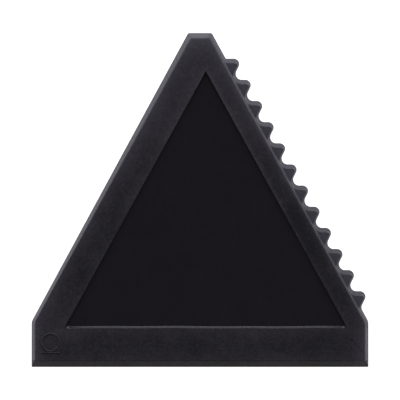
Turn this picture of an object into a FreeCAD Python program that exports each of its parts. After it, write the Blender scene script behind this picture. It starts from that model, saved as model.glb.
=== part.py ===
import FreeCAD, Part
import math
import os
import Sketcher

# A triangular hand-held ice scraper, one injection moulding in black plastic.
#
# It lies on its back: +Z comes out of the front face, +Y points to the cut-off apex,
# and +X to the toothed side. The origin is the middle of the outline's box, on the back face.
# The whole moulding is modelled once, and is then divided into its named zones by upright
# prisms, so that neighbouring zones meet face to face.
#
# Alias, size in millimetres (degrees where named so), meaning.
SIZES = [
    ("overall_width", 119.0, "width of the outline at the base"),
    ("overall_height", 118.0, "base edge to the cut-off apex"),
    ("thickness", 5.0, "front face to back face"),
    ("top_flat", 8.4, "width of the cut-off apex"),
    ("side_wall", 16.1, "height of the upright walls above the base edge"),
    ("edge_land", 1.2, "height of the narrow land between the front and the back bevel"),
    ("bevel_width", 1.5, "plan width of the bevel all round"),
    ("panel_axis_x", 2.05, "offset of the recess's axis towards the teeth"),
    ("panel_half_base", 50.2, "half of the recess's base"),
    ("panel_height", 90.8, "recess base to recess apex"),
    ("base_rail_width", 13.7, "base edge to the recess's rim"),
    ("recess_depth", 0.7, "depth of the recess, on the front and on the back"),
    ("recess_wall_angle", 45.0, "slope of the recess walls from upright, degrees"),
    ("blade_width", 2.3, "plan width of the base blade, its step included"),
    ("step_width", 0.15, "plan width of the steep step above the base blade"),
    ("step_drop", 0.5, "height of that step"),
    ("blade_land", 1.0, "height of the land at the base blade's edge"),
    ("tooth_drop", 0.86, "front face down to the plane of the teeth"),
    ("tooth_count", 12, "teeth on the comb"),
    ("tooth_pitch", 8.5, "tooth to tooth along the side"),
    ("first_tooth", 13.35, "apex corner to the first tooth's axis, along the side"),
    ("tooth_height", 3.5, "how far the tips stand beyond the side's line"),
    ("tip_radius", 1.95, "round of a tooth's tip"),
    ("gullet_radius", 2.1, "round between two teeth"),
    ("shoulder_radius", 0.5, "round where the first tooth leaves the side's line"),
    ("upper_flank", 28.0, "flank on the apex side, from the side's normal, degrees"),
    ("lower_flank", 35.0, "flank on the base side, from the side's normal, degrees"),
    ("comb_start", 9.5, "apex corner to the comb's first end, along the side"),
    ("comb_end", 112.0, "apex corner to the comb's last end, along the side"),
    ("mark_x", -52.7, "middle of the moulded mark, across"),
    ("mark_y", -50.9, "middle of the moulded mark, along"),
    ("mark_radius", 2.7, "outer radius of the mark's ring"),
    ("mark_line", 0.5, "line width of the mark"),
    ("mark_bar", 7.0, "length of the bar under the ring"),
    ("mark_height", 0.12, "how far the mark stands up from the face"),
]

# Sizes worked out from the driving ones, as expressions that the sketches share.
HALF_WIDTH = "Sizes.overall_width / 2"
HALF_HEIGHT = "Sizes.overall_height / 2"
HALF_TOP = "Sizes.top_flat / 2"
SHOULDER_Y = "(Sizes.side_wall - Sizes.overall_height / 2)"
SLANT_RUN = "(Sizes.overall_width - Sizes.top_flat) / 2"
SLANT_DROP = "(Sizes.overall_height - Sizes.side_wall)"
SLANT_ANGLE = f"atan({SLANT_RUN} / {SLANT_DROP})"
BEVEL_DROP = "(Sizes.thickness - Sizes.edge_land) / 2"
BEVEL_ANGLE = f"atan(Sizes.bevel_width / ({BEVEL_DROP}))"
COMB_FOOT = f"(Sizes.bevel_width * (1 - Sizes.tooth_drop / ({BEVEL_DROP})))"
RIM_Y = "(Sizes.base_rail_width - Sizes.overall_height / 2)"
BLADE_Y = "(Sizes.blade_width - Sizes.overall_height / 2)"

# How far a tool shape runs past the solid that it cuts, in millimetres.
OVERRUN = 2.0


def make_sheet(doc):
    """Put the driving sizes into the spreadsheet, one to a row, each with its alias."""
    sheet = doc.addObject("Spreadsheet::Sheet", "Sizes")
    for row, (alias, value, meaning) in enumerate(SIZES, start=1):
        sheet.set(f"A{row}", alias)
        sheet.set(f"B{row}", str(value))
        sheet.set(f"C{row}", meaning)
        sheet.setAlias(f"B{row}", alias)
    doc.recompute()
    return sheet


def make_body(doc, label):
    """Make an empty PartDesign body."""
    body = doc.addObject("PartDesign::Body", label)
    body.Label = label
    return body


def origin_plane(body, role):
    """Find one of the body's own origin planes."""
    return next(item for item in body.Origin.OriginFeatures if item.Role == role)


def make_sketch(body, name, role="XY_Plane", height="0"):
    """Start a sketch on an origin plane of the body, raised by the height expression."""
    sketch = body.newObject("Sketcher::SketchObject", name)
    sketch.AttachmentSupport = [(origin_plane(body, role), "")]
    sketch.MapMode = "FlatFace"
    sketch.setExpression("AttachmentOffset.Base.z", height)
    return sketch


def bind(sketch, kind, references, expression):
    """Add a constraint whose value follows an expression."""
    value = float(sketch.Document.Sizes.evalExpression(expression))
    if kind == "Angle":
        value = math.radians(value)
    index = sketch.addConstraint(Sketcher.Constraint(kind, *references, value))
    sketch.setExpression(f"Constraints[{index}]", expression)


def draw_polygon(sketch, corners):
    """Draw a closed polygon whose corners are pairs of expressions, each one bound."""
    sheet = sketch.Document.Sizes
    points = [
        FreeCAD.Vector(float(sheet.evalExpression(x)), float(sheet.evalExpression(y)), 0)
        for x, y in corners
    ]
    count = len(points)
    lines = [
        sketch.addGeometry(Part.LineSegment(points[i], points[(i + 1) % count]), False)
        for i in range(count)
    ]
    for i, line in enumerate(lines):
        following = lines[(i + 1) % count]
        sketch.addConstraint(Sketcher.Constraint("Coincident", line, 2, following, 1))
    for line, (x, y) in zip(lines, corners):
        bind(sketch, "DistanceX", (line, 1), x)
        bind(sketch, "DistanceY", (line, 1), y)


def make_pad(body, name, profile, length, taper="0", midplane=False):
    """Pad a sketch or face upwards by the length expression, tapering by the taper expression."""
    pad = body.newObject("PartDesign::Pad", name)
    pad.Profile = profile
    pad.setExpression("Length", length)
    pad.setExpression("TaperAngle", taper)
    pad.Midplane = midplane
    return pad


def top_face(feature):
    """The highest level face of a feature, as a profile for the next pad."""
    feature.Document.recompute()
    faces = feature.Shape.Faces
    highest = max(range(len(faces)), key=lambda index: faces[index].BoundBox.ZMin)
    return (feature, [f"Face{highest + 1}"])


def mirror_front(body, features):
    """Repeat the features of the front half on the back half, about the middle plane."""
    mirrored = body.newObject("PartDesign::Mirrored", f"{body.Label}_back_half")
    mirrored.Originals = features
    mirrored.MirrorPlane = (origin_plane(body, "XY_Plane"), [""])
    body.Tip = mirrored


def outline_corners():
    """The six corners of the outline, from the lower left, anticlockwise."""
    return [
        (f"-{HALF_WIDTH}", f"-{HALF_HEIGHT}"),
        (HALF_WIDTH, f"-{HALF_HEIGHT}"),
        (HALF_WIDTH, SHOULDER_Y),
        (HALF_TOP, HALF_HEIGHT),
        (f"-{HALF_TOP}", HALF_HEIGHT),
        (f"-{HALF_WIDTH}", SHOULDER_Y),
    ]


def rim_corners():
    """The three corners of the recess's rim: left, right and apex."""
    return [
        ("Sizes.panel_axis_x - Sizes.panel_half_base", RIM_Y),
        ("Sizes.panel_axis_x + Sizes.panel_half_base", RIM_Y),
        ("Sizes.panel_axis_x", f"{RIM_Y} + Sizes.panel_height"),
    ]


def apex_face_corner(side):
    """Where the top bevel's and a slanted bevel's inner edges meet; side is 1 or -1."""
    inset = f"Sizes.bevel_width * (1 - sin({SLANT_ANGLE})) / cos({SLANT_ANGLE})"
    return (f"{side} * ({HALF_TOP} - {inset})", f"{HALF_HEIGHT} - Sizes.bevel_width")


def shoulder_face_corner(side):
    """Where a slanted bevel's and an upright bevel's inner edges meet; side is 1 or -1."""
    drop = f"Sizes.bevel_width * tan({SLANT_ANGLE} / 2)"
    return (f"{side} * ({HALF_WIDTH} - Sizes.bevel_width)", f"{SHOULDER_Y} - {drop}")


def on_toothed_side(along, outward):
    """A point given along the toothed side from its apex corner, and outward from it."""
    across = f"{HALF_TOP} + {along} * sin({SLANT_ANGLE}) + {outward} * cos({SLANT_ANGLE})"
    upward = f"{HALF_HEIGHT} - {along} * cos({SLANT_ANGLE}) + {outward} * sin({SLANT_ANGLE})"
    return (across, upward)


def make_plate(doc):
    """The plate: land, bevels, base blade and recess, built about its middle plane."""
    body = make_body(doc, "plate")
    body.setExpression("Placement.Base.z", "Sizes.thickness / 2")

    outline = make_sketch(body, "outline")
    draw_polygon(outline, outline_corners())
    land = make_pad(body, "land", outline, "Sizes.edge_land", midplane=True)
    front_bevels = make_pad(body, "front_bevels", top_face(land), BEVEL_DROP, f"-({BEVEL_ANGLE})")

    rim = make_sketch(body, "recess_rim", height="Sizes.thickness / 2")
    draw_polygon(rim, rim_corners())
    recess = body.newObject("PartDesign::Pocket", "recess")
    recess.Profile = rim
    recess.setExpression("Length", "Sizes.recess_depth")
    recess.setExpression("TaperAngle", "-Sizes.recess_wall_angle")

    # Section of what the base blade's cut takes away; the sketch's x is the part's y,
    # and its y is the height above the middle plane.
    blade = make_sketch(body, "blade_section", "YZ_Plane")
    step_y = f"{BLADE_Y} - Sizes.step_width"
    step_z = "Sizes.thickness / 2 - Sizes.step_drop"
    above = f"Sizes.thickness / 2 + {OVERRUN}"
    outside = f"-{HALF_HEIGHT} - {OVERRUN}"
    draw_polygon(blade, [
        (BLADE_Y, above),
        (BLADE_Y, "Sizes.thickness / 2"),
        (step_y, step_z),
        (f"-{HALF_HEIGHT}", "Sizes.blade_land / 2"),
        (outside, "Sizes.blade_land / 2"),
        (outside, above),
    ])
    blade_cut = body.newObject("PartDesign::Pocket", "blade_cut")
    blade_cut.Profile = blade
    blade_cut.Midplane = True
    blade_cut.setExpression("Length", f"Sizes.overall_width + {2 * OVERRUN}")

    mirror_front(body, [front_bevels, recess, blade_cut])
    return body


def draw_comb(sketch):
    """Draw the comb's outline: x runs along the side from the apex corner, y outwards.

    Each tooth is two straight flanks on a round tip, and each gullet is an arc that is
    tangent to the flanks beside it. The tip centres, the radii and the flank angles fix it.
    """
    sheet = sketch.Document.Sizes
    upper = math.radians(sheet.upper_flank)
    lower = math.radians(sheet.lower_flank)
    tip_y = sheet.tooth_height - sheet.tip_radius
    count = int(sheet.tooth_count)
    start = float(sheet.comb_start) - OVERRUN
    end = float(sheet.comb_end) + OVERRUN
    depth = -float(sheet.evalExpression(COMB_FOOT)) - OVERRUN
    upper_normal = FreeCAD.Vector(-math.cos(upper), math.sin(upper), 0)
    lower_normal = FreeCAD.Vector(math.cos(lower), math.sin(lower), 0)

    def tip_centre(tooth):
        """Centre of a tooth's tip arc."""
        return FreeCAD.Vector(sheet.first_tooth + tooth * sheet.tooth_pitch, tip_y, 0)

    def arc(centre, radius, low, high):
        """Arc from the low to the high angle, in radians, anticlockwise."""
        circle = Part.Circle(centre, FreeCAD.Vector(0, 0, 1), radius)
        return Part.ArcOfCircle(circle, low, high)

    def beside_side_line(tooth, normal, radius):
        """Centre of an arc that touches the side's line and the flank with that normal."""
        centre = tip_centre(tooth)
        reach = sheet.tip_radius + radius - normal.y * (radius - centre.y)
        return FreeCAD.Vector(centre.x + reach / normal.x, radius, 0)

    def between(tooth):
        """Centre of the gullet arc after a tooth: one distance from both of its flanks."""
        here = tip_centre(tooth)
        reach = sheet.tip_radius + sheet.gullet_radius
        turn = lower_normal.x * upper_normal.y - lower_normal.y * upper_normal.x
        far = reach + upper_normal.x * sheet.tooth_pitch
        across = (reach * upper_normal.y - far * lower_normal.y) / turn
        up = (far * lower_normal.x - reach * upper_normal.x) / turn
        return FreeCAD.Vector(here.x + across, here.y + up, 0)

    chain = []
    shoulder = beside_side_line(0, upper_normal, sheet.shoulder_radius)
    first_root = FreeCAD.Vector(shoulder.x, 0, 0)
    chain.append(("side", Part.LineSegment(FreeCAD.Vector(start, 0, 0), first_root)))
    chain.append(("shoulder", arc(shoulder, sheet.shoulder_radius, 1.5 * math.pi, 2 * math.pi - upper)))
    before = shoulder
    before_radius = sheet.shoulder_radius
    for tooth in range(count):
        centre = tip_centre(tooth)
        root = before - upper_normal * before_radius
        upper_end = centre + upper_normal * sheet.tip_radius
        lower_start = centre + lower_normal * sheet.tip_radius
        chain.append(("upper", Part.LineSegment(root, upper_end)))
        chain.append(("tip", arc(centre, sheet.tip_radius, lower, math.pi - upper)))
        is_last = tooth == count - 1
        before_radius = sheet.gullet_radius
        before = beside_side_line(tooth, lower_normal, before_radius) if is_last else between(tooth)
        chain.append(("lower", Part.LineSegment(lower_start, before - lower_normal * before_radius)))
        gullet_end = 1.5 * math.pi if is_last else 2 * math.pi - upper
        chain.append(("gullet", arc(before, before_radius, math.pi + lower, gullet_end)))
    chain.append(("side", Part.LineSegment(FreeCAD.Vector(before.x, 0, 0), FreeCAD.Vector(end, 0, 0))))

    placed = [(kind, sketch.addGeometry(shape, False)) for kind, shape in chain]
    # An arc runs anticlockwise, so a tip is walked from its end to its start.
    for (kind, here), (next_kind, following) in zip(placed, placed[1:]):
        leave = 1 if kind == "tip" else 2
        enter = 2 if next_kind == "tip" else 1
        sketch.addConstraint(Sketcher.Constraint("Tangent", here, leave, following, enter))

    tooth = 0
    for kind, index in placed:
        if kind == "upper":
            bind(sketch, "Angle", (index,), "90 - Sizes.upper_flank")
        elif kind == "lower":
            bind(sketch, "Angle", (index,), "Sizes.lower_flank - 90")
        elif kind == "shoulder":
            bind(sketch, "Radius", (index,), "Sizes.shoulder_radius")
        elif kind == "gullet":
            bind(sketch, "Radius", (index,), "Sizes.gullet_radius")
        elif kind == "tip":
            bind(sketch, "Radius", (index,), "Sizes.tip_radius")
            bind(sketch, "DistanceX", (index, 3), f"Sizes.first_tooth + {tooth} * Sizes.tooth_pitch")
            bind(sketch, "DistanceY", (index, 3), "Sizes.tooth_height - Sizes.tip_radius")
            tooth += 1

    # The comb's back corners lie inside the plate, clear of the zone that is kept.
    corners = [
        FreeCAD.Vector(end, 0, 0),
        FreeCAD.Vector(end, depth, 0),
        FreeCAD.Vector(start, depth, 0),
        FreeCAD.Vector(start, 0, 0),
    ]
    first = placed[0][1]
    last = placed[-1][1]
    back = [
        sketch.addGeometry(Part.LineSegment(corners[i], corners[i + 1]), False)
        for i in range(3)
    ]
    ring = [last] + back + [first]
    for here, following in zip(ring, ring[1:]):
        sketch.addConstraint(Sketcher.Constraint("Coincident", here, 2, following, 1))
    bind(sketch, "DistanceX", (first, 1), f"Sizes.comb_start - {OVERRUN}")
    bind(sketch, "DistanceX", (last, 2), f"Sizes.comb_end + {OVERRUN}")
    sketch.addConstraint(Sketcher.Constraint("PointOnObject", first, 1, -1))
    sketch.addConstraint(Sketcher.Constraint("PointOnObject", last, 2, -1))
    sketch.addConstraint(Sketcher.Constraint("Horizontal", first))
    sketch.addConstraint(Sketcher.Constraint("Horizontal", last))
    sketch.addConstraint(Sketcher.Constraint("Vertical", back[0]))
    sketch.addConstraint(Sketcher.Constraint("Horizontal", back[1]))
    sketch.addConstraint(Sketcher.Constraint("Vertical", back[2]))
    bind(sketch, "DistanceY", (back[1], 1), f"-{COMB_FOOT} - {OVERRUN}")


def make_comb(doc):
    """The row of teeth, with its x axis along the plate's toothed side."""
    body = make_body(doc, "comb")
    body.Placement = FreeCAD.Placement(FreeCAD.Vector(), FreeCAD.Vector(0, 0, 1), 300)
    body.setExpression("Placement.Base.x", HALF_TOP)
    body.setExpression("Placement.Base.y", HALF_HEIGHT)
    body.setExpression("Placement.Base.z", "Sizes.thickness / 2")
    body.setExpression("Placement.Rotation.Angle", f"270 deg + {SLANT_ANGLE}")

    outline = make_sketch(body, "comb_outline")
    draw_comb(outline)
    land = make_pad(body, "comb_land", outline, "Sizes.edge_land", midplane=True)
    height = f"{BEVEL_DROP} - Sizes.tooth_drop"
    front_bevels = make_pad(body, "comb_bevels", top_face(land), height, f"-({BEVEL_ANGLE})")
    mirror_front(body, [front_bevels])
    return body


def make_ring(doc):
    """The ring of the moulded mark, standing up from the face at the lower left."""
    body = make_body(doc, "mark_ring")
    body.setExpression("Placement.Base.x", "Sizes.mark_x")
    body.setExpression("Placement.Base.y", "Sizes.mark_y")
    body.setExpression("Placement.Base.z", "Sizes.thickness")
    ring = make_sketch(body, "ring")
    ring_y = "Sizes.mark_radius / 2"
    centre = FreeCAD.Vector(0, float(doc.Sizes.evalExpression(ring_y)), 0)
    for radius in ("Sizes.mark_radius", "Sizes.mark_radius - Sizes.mark_line"):
        size = float(doc.Sizes.evalExpression(radius))
        circle = ring.addGeometry(Part.Circle(centre, FreeCAD.Vector(0, 0, 1), size), False)
        bind(ring, "Radius", (circle,), radius)
        bind(ring, "DistanceY", (circle, 3), ring_y)
        ring.addConstraint(Sketcher.Constraint("PointOnObject", circle, 3, -2))
    make_pad(body, "ring_pad", ring, "Sizes.mark_height")
    return body


def make_bar(doc):
    """The bar of the moulded mark, below its ring."""
    body = make_body(doc, "mark_bar")
    body.setExpression("Placement.Base.x", "Sizes.mark_x")
    body.setExpression("Placement.Base.y", "Sizes.mark_y")
    body.setExpression("Placement.Base.z", "Sizes.thickness")
    bar = make_sketch(body, "bar")
    top = "-Sizes.mark_radius"
    bottom = "-Sizes.mark_radius - Sizes.mark_line"
    draw_polygon(bar, [
        ("-Sizes.mark_bar / 2", bottom),
        ("Sizes.mark_bar / 2", bottom),
        ("Sizes.mark_bar / 2", top),
        ("-Sizes.mark_bar / 2", top),
    ])
    make_pad(body, "bar_pad", bar, "Sizes.mark_height")
    return body


def zone_outlines():
    """Plan outline of each zone of the moulding, as pairs of expressions."""
    low_left, low_right, right, top_right, top_left, left = outline_corners()
    rim_left, rim_right, rim_apex = rim_corners()
    top_middle = ("0", HALF_HEIGHT)
    foot = f"-{COMB_FOOT}"
    beyond = f"(Sizes.tooth_height + {OVERRUN})"
    comb_seat = [
        on_toothed_side("Sizes.comb_start", foot),
        on_toothed_side("Sizes.comb_end", foot),
    ]
    blade_left = (low_left[0], BLADE_Y)
    blade_right = (low_right[0], BLADE_Y)
    return {
        "centre_panel": [rim_left, rim_right, rim_apex],
        "left_rail": [
            top_middle, top_left, apex_face_corner(-1),
            shoulder_face_corner(-1), rim_left, rim_apex,
        ],
        "right_rail": [
            top_middle, rim_apex, rim_right, shoulder_face_corner(1), right,
            on_toothed_side("Sizes.comb_end", "0"), comb_seat[1],
            comb_seat[0], on_toothed_side("Sizes.comb_start", "0"), top_right,
        ],
        "base_rail": [
            blade_left, blade_right, right, shoulder_face_corner(1),
            rim_right, rim_left, shoulder_face_corner(-1), left,
        ],
        "side_blade": [top_left, left, shoulder_face_corner(-1), apex_face_corner(-1)],
        "toothed_edge": [
            comb_seat[0], comb_seat[1],
            on_toothed_side("Sizes.comb_end", beyond),
            on_toothed_side("Sizes.comb_start", beyond),
        ],
        "base_blade": [low_left, low_right, blade_right, blade_left],
    }


def make_zone(doc, moulding, label, corners):
    """Cut one named zone out of the moulding with an upright prism."""
    prism = make_body(doc, f"{label}_prism")
    sketch = make_sketch(prism, f"{label}_plan")
    draw_polygon(sketch, corners)
    make_pad(prism, f"{label}_height", sketch, "Sizes.thickness")
    zone = doc.addObject("Part::Common", label)
    zone.Label = label
    zone.Base = moulding
    zone.Tool = prism
    zone.Refine = True
    return zone


def join(doc, label, base, tool):
    """Fuse two shapes into one."""
    fused = doc.addObject("Part::Fuse", label)
    fused.Label = label
    fused.Base = base
    fused.Tool = tool
    fused.Refine = True
    return fused


def check(doc, nodes):
    """Stop on any object that failed, and on any sub-part with an empty or broken shape."""
    for item in doc.Objects:
        if "Invalid" in item.State or "Error" in item.State:
            raise RuntimeError(f"{item.Label} failed: {item.State}")
    for node in nodes:
        if node.Shape.isNull() or not node.Shape.isValid() or not node.Shape.Solids:
            raise RuntimeError(f"{node.Label} has no valid shape")


def main():
    """Build the scraper and write each sub-part."""
    doc = FreeCAD.newDocument("ice_scraper")
    make_sheet(doc)
    plate = make_plate(doc)
    comb = make_comb(doc)
    moulding = join(doc, "moulding", plate, comb)
    nodes = [
        make_zone(doc, moulding, label, corners)
        for label, corners in zone_outlines().items()
    ]
    nodes.append(join(doc, "mould_mark", make_ring(doc), make_bar(doc)))
    doc.recompute()
    check(doc, nodes)

    os.makedirs("parts", exist_ok=True)
    for node in nodes:
        node.Shape.exportStep(f"parts/{node.Label}.step")
        print(f"{node.Label:14s} {len(node.Shape.Solids)} solid, {node.Shape.Volume:9.2f} mm3")
    total = sum(node.Shape.Volume for node in nodes)
    print(f"moulding {moulding.Shape.Volume:.2f} mm3, zones and mark {total:.2f} mm3")


main()
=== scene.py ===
"""Looks of a triangular ice scraper, one moulding in black recycled polystyrene.

Every piece is a zone of the same moulding. All of them take their height from one
function of the place in plan, so neighbouring zones meet in one unbroken surface.
"""
import logging
import math
from dataclasses import dataclass, field
from enum import Enum
from typing import Any

import bpy
import numpy as np
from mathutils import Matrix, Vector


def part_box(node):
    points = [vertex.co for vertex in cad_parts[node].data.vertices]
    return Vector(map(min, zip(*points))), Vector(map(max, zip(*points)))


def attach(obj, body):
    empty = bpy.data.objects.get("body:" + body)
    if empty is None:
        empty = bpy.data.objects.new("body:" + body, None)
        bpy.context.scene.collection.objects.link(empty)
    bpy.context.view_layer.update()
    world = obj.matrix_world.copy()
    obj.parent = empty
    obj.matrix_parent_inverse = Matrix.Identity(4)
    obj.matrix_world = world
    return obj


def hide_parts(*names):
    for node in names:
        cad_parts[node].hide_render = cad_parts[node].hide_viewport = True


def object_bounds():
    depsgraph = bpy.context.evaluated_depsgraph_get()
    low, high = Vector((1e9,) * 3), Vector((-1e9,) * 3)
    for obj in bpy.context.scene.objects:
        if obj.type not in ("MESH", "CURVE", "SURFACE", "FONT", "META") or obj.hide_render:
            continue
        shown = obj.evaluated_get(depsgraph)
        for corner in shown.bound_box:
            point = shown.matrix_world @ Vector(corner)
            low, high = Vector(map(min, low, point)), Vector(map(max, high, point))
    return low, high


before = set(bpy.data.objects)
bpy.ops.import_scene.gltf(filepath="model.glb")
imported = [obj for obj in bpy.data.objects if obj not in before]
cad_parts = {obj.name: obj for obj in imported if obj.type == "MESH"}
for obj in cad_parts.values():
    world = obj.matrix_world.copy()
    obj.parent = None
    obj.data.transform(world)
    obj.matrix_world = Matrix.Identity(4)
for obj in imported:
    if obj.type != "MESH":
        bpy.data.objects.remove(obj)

MM = 0.001
CAD_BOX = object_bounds()
WELD = 1e-7
SHARP_ANGLE = math.radians(38.0)
NOSE = 0.22 * MM
log = logging.getLogger("ice_scraper")


class Side(Enum):
    """The two long sides of the triangle, with the sign of their x."""

    BLADE = -1
    TEETH = 1


class Slot(Enum):
    """The record's material slots."""

    FRAME = "frame"
    PANEL = "panel"


# ---------------------------------------------------------------- plan and profile helpers


def soft_min(a: np.ndarray, b: np.ndarray, reach: float) -> np.ndarray:
    """Lower of two values, rounded where they differ by less than reach.

    The plain minimum is lowered by a parabola that is a quarter of reach deep where the
    two are equal, and is nothing where they are reach apart.

    Args:
        a: First values.
        b: Second values.
        reach: Difference at which the rounding starts.

    Returns:
        The rounded minimum.
    """
    blend = np.maximum(reach - np.abs(a - b), 0.0) / reach
    return np.minimum(a, b) - blend * blend * reach / 4.0


def soft_max(a: np.ndarray, b: np.ndarray, reach: float) -> np.ndarray:
    """Higher of two values, rounded as in soft_min."""
    return -soft_min(-a, -b, reach)


def smooth_step(low: float, high: float, value: np.ndarray) -> np.ndarray:
    """Rise from 0 at low to 1 at high with level ends: three t squared less two t cubed."""
    t = np.clip((value - low) / (high - low), 0.0, 1.0)
    return t * t * (3.0 - 2.0 * t)


def bell(distance: np.ndarray, reach: float | np.ndarray) -> np.ndarray:
    """1 at no distance: the falling exponential of the square of distance over reach."""
    return np.exp(-((distance / reach) ** 2))


def inside(points: np.ndarray, start: np.ndarray, end: np.ndarray) -> np.ndarray:
    """Distance of plan points to the left of the line from start to end.

    Args:
        points: Array of plan points, the last axis x and y.
        start: A point on the line.
        end: Another point on the line.

    Returns:
        Signed distances, positive to the left.
    """
    along = (end - start) / np.linalg.norm(end - start)
    offset = points - start
    return along[0] * offset[..., 1] - along[1] * offset[..., 0]


def graded(length: float, first: float, growth: float, limit: float) -> np.ndarray:
    """Steps from 0 to 1 that are fine at both ends and coarse between.

    Steps grow from first by the factor growth up to limit, mirrored from the other end.

    Args:
        length: Real length that the steps divide.
        first: Length of the first and last step.
        growth: Ratio of one step to the step before.
        limit: Greatest step.

    Returns:
        Rising values from 0 to 1.
    """
    count = max(int(math.log(limit / first) / math.log(growth)), 1)
    ramp = first * growth ** np.arange(count)
    middle = max(length - 2.0 * ramp.sum(), limit)
    steps = np.concatenate([ramp, np.full(int(round(middle / limit)), limit), ramp[::-1]])
    places = np.concatenate([[0.0], np.cumsum(steps)])
    return places / places[-1]


def bevel_height(inset: np.ndarray, slope: np.ndarray, half_land: float) -> np.ndarray:
    """Height above the middle plane of a bevel that ends in a small round nose.

    The nose is an arc that touches the land's upright face and the bevel's plane, which
    is half the land plus slope times inset. The arc's centre lies one radius inside the
    outline, and one radius under the bevel's plane.

    Args:
        inset: Distance inwards from the outline.
        slope: Rise of the bevel over its run.
        half_land: Height of the bevel's plane above the middle plane at the outline.

    Returns:
        Heights, the arc's centre height at the outline.
    """
    stretch = np.sqrt(1.0 + slope * slope)
    centre = half_land + slope * NOSE - NOSE * stretch
    touch = NOSE * (1.0 - slope / stretch)
    inset = np.maximum(inset, 0.0)
    arc = np.sqrt(np.maximum(NOSE**2 - (NOSE - np.minimum(inset, NOSE)) ** 2, 0.0))
    return np.where(inset < touch, centre + arc, half_land + slope * inset)


def nose_insets(slope: np.ndarray, rows: int) -> np.ndarray:
    """Insets of evenly turned steps round a nose, one row to a step, one column to a slope."""
    turn = np.linspace(0.0, 1.0, rows)[:, None] * np.arctan2(1.0, np.atleast_1d(slope))[None, :]
    return NOSE * (1.0 - np.cos(turn))


def lerp(a: np.ndarray, b: np.ndarray, t: np.ndarray | float) -> np.ndarray:
    """Point or points the fraction t of the way from a to b."""
    return a + (b - a) * t


# ---------------------------------------------------------------- meshes


@dataclass
class Plan:
    """A welded triangle mesh in plan: points and triangles that turn anticlockwise."""

    points: np.ndarray
    triangles: np.ndarray


def grid_triangles(rows: int, columns: int) -> np.ndarray:
    """Two triangles for each cell of a grid whose points are numbered row by row.

    Args:
        rows: Number of rows of points.
        columns: Number of points in a row.

    Returns:
        Rows of three point numbers.
    """
    index = np.arange(rows * columns).reshape(rows, columns)
    a, b = index[:-1, :-1].ravel(), index[:-1, 1:].ravel()
    c, d = index[1:, 1:].ravel(), index[1:, :-1].ravel()
    return np.concatenate([np.stack([a, b, c], axis=1), np.stack([a, c, d], axis=1)])


def weld(points: np.ndarray, triangles: np.ndarray) -> tuple[np.ndarray, np.ndarray, np.ndarray]:
    """Merge points that coincide, and drop the triangles that this folds flat.

    Args:
        points: Array of points, one to a row.
        triangles: Rows of three point numbers.

    Returns:
        The kept points, the triangles in the new numbers, and the old number of each
        kept point.
    """
    keys = np.round(points / WELD).astype(np.int64)
    _, kept, renumber = np.unique(keys, axis=0, return_index=True, return_inverse=True)
    merged = renumber.reshape(-1)[triangles]
    a, b, c = merged.T
    whole = (a != b) & (b != c) & (c != a)
    return points[kept], merged[whole], kept


def patch(corners: list[np.ndarray], across: np.ndarray, down: np.ndarray) -> np.ndarray:
    """Points of a four-sided plan patch: straight rows between two straight sides.

    Args:
        corners: First row's start and end, then last row's end and start.
        across: Places along each row, from 0 to 1.
        down: Places of the rows, from 0 to 1.

    Returns:
        Grid of points, rows by columns by two.
    """
    start = lerp(corners[0], corners[3], down[:, None])
    end = lerp(corners[1], corners[2], down[:, None])
    return lerp(start[:, None, :], end[:, None, :], across[None, :, None])


def join_patches(patches: list[np.ndarray]) -> Plan:
    """Weld plan patches into one plan mesh, with all triangles turning anticlockwise.

    A triangle's turn is the cross product of two of its sides. Those that turn clockwise
    are flipped, and those without area are dropped.

    Args:
        patches: Grids of plan points.

    Returns:
        The plan mesh.
    """
    points, triangles, count = [], [], 0
    for grid in patches:
        rows, columns = grid.shape[:2]
        points.append(grid.reshape(-1, 2))
        triangles.append(grid_triangles(rows, columns) + count)
        count += rows * columns
    welded, faces, _ = weld(np.concatenate(points), np.concatenate(triangles))
    a, b, c = (welded[faces[:, i]] for i in range(3))
    turn = (b - a)[:, 0] * (c - a)[:, 1] - (b - a)[:, 1] * (c - a)[:, 0]
    faces = np.where((turn < 0.0)[:, None], faces[:, ::-1], faces)
    return Plan(welded, faces[np.abs(turn) > WELD * WELD])


def border(triangles: np.ndarray) -> np.ndarray:
    """Directed edges of triangles that no other triangle runs the opposite way.

    Args:
        triangles: Rows of three point numbers.

    Returns:
        Rows of an edge's first and last point number.
    """
    edges = np.concatenate([triangles[:, [0, 1]], triangles[:, [1, 2]], triangles[:, [2, 0]]])
    size = edges.max() + 1
    forward = edges[:, 0] * size + edges[:, 1]
    backward = edges[:, 1] * size + edges[:, 0]
    return edges[~np.isin(forward, backward)]


def make_object(
    name: str,
    points: np.ndarray,
    triangles: np.ndarray,
    attributes: dict[str, np.ndarray] | None = None,
) -> bpy.types.Object:
    """Put welded points and triangles into a smooth mesh object at the origin.

    Args:
        name: The piece's name.
        points: Array of points, one to a row.
        triangles: Rows of three point numbers, turning anticlockwise seen from outside.
        attributes: Values for each point, by attribute name.

    Returns:
        The new object, linked to the scene.
    """
    points, triangles, kept = weld(points, triangles)
    mesh = bpy.data.meshes.new(name)
    mesh.from_pydata(points, [], triangles)
    mesh.shade_smooth()
    mesh.set_sharp_from_angle(angle=SHARP_ANGLE)
    for label, values in (attributes or {}).items():
        layer = mesh.attributes.new(label, "FLOAT", "POINT")
        layer.data.foreach_set("value", values[kept].astype(np.float32))
    mesh.update()
    piece = bpy.data.objects.new(name, mesh)
    bpy.context.scene.collection.objects.link(piece)
    return piece


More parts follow.
